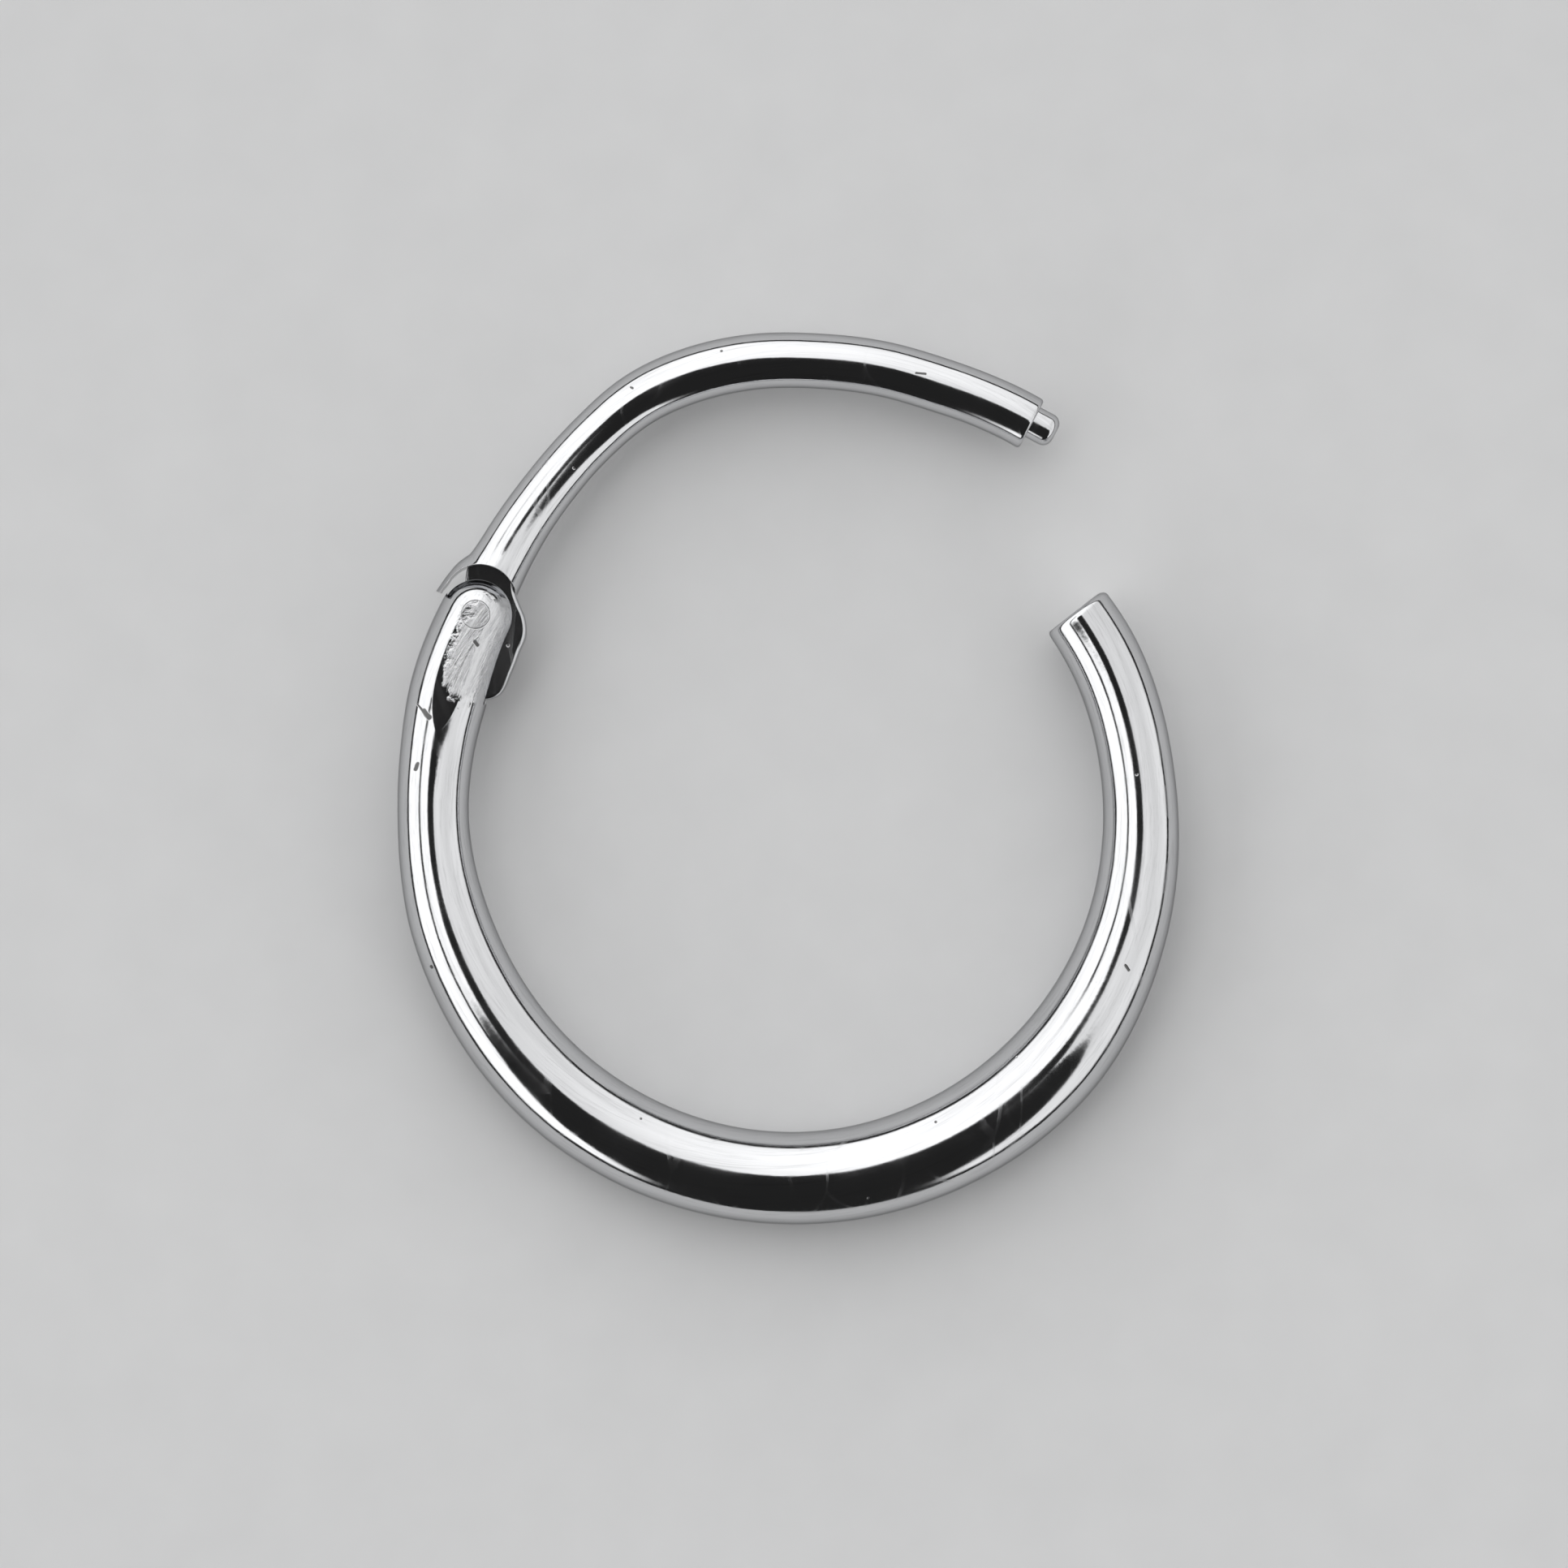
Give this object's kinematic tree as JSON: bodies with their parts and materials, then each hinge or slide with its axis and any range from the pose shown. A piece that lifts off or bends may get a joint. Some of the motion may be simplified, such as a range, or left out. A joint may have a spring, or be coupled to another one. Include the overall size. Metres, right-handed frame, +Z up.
{
  "type": "nose ring",
  "caption": "Hinged segment nose ring of polished steel: a swelling round wire with a thin hinged gate whose stud clicks into the free end.",
  "frame": {"origin": "under the middle of the open ring, on the surface that it lies on", "axes": "+Z up from that surface, along the hinge pin; +Y from the ring's thick middle towards the open gate; +X towards the free end"},
  "size_m": [0.0118, 0.0134, 0.0014],
  "materials": {
    "polished_steel": "mirror polished",
    "stud_steel": "turned and polished",
    "pin_steel": "ground flush and polished"
  },
  "bodies": {
    "ring": {"ring_body": "polished_steel", "hinge_pin": "pin_steel"},
    "gate": {"gate": "polished_steel", "latch_stud": "stud_steel"}
  },
  "joints": [
    {"name": "gate_hinge", "type": "hinge", "parent": "ring", "child": "gate", "pos_m": [-0.00467, 0.00245, 0.00072], "axis": [0, 0, 1], "range_deg": [-18.9, 29]}
  ]
}
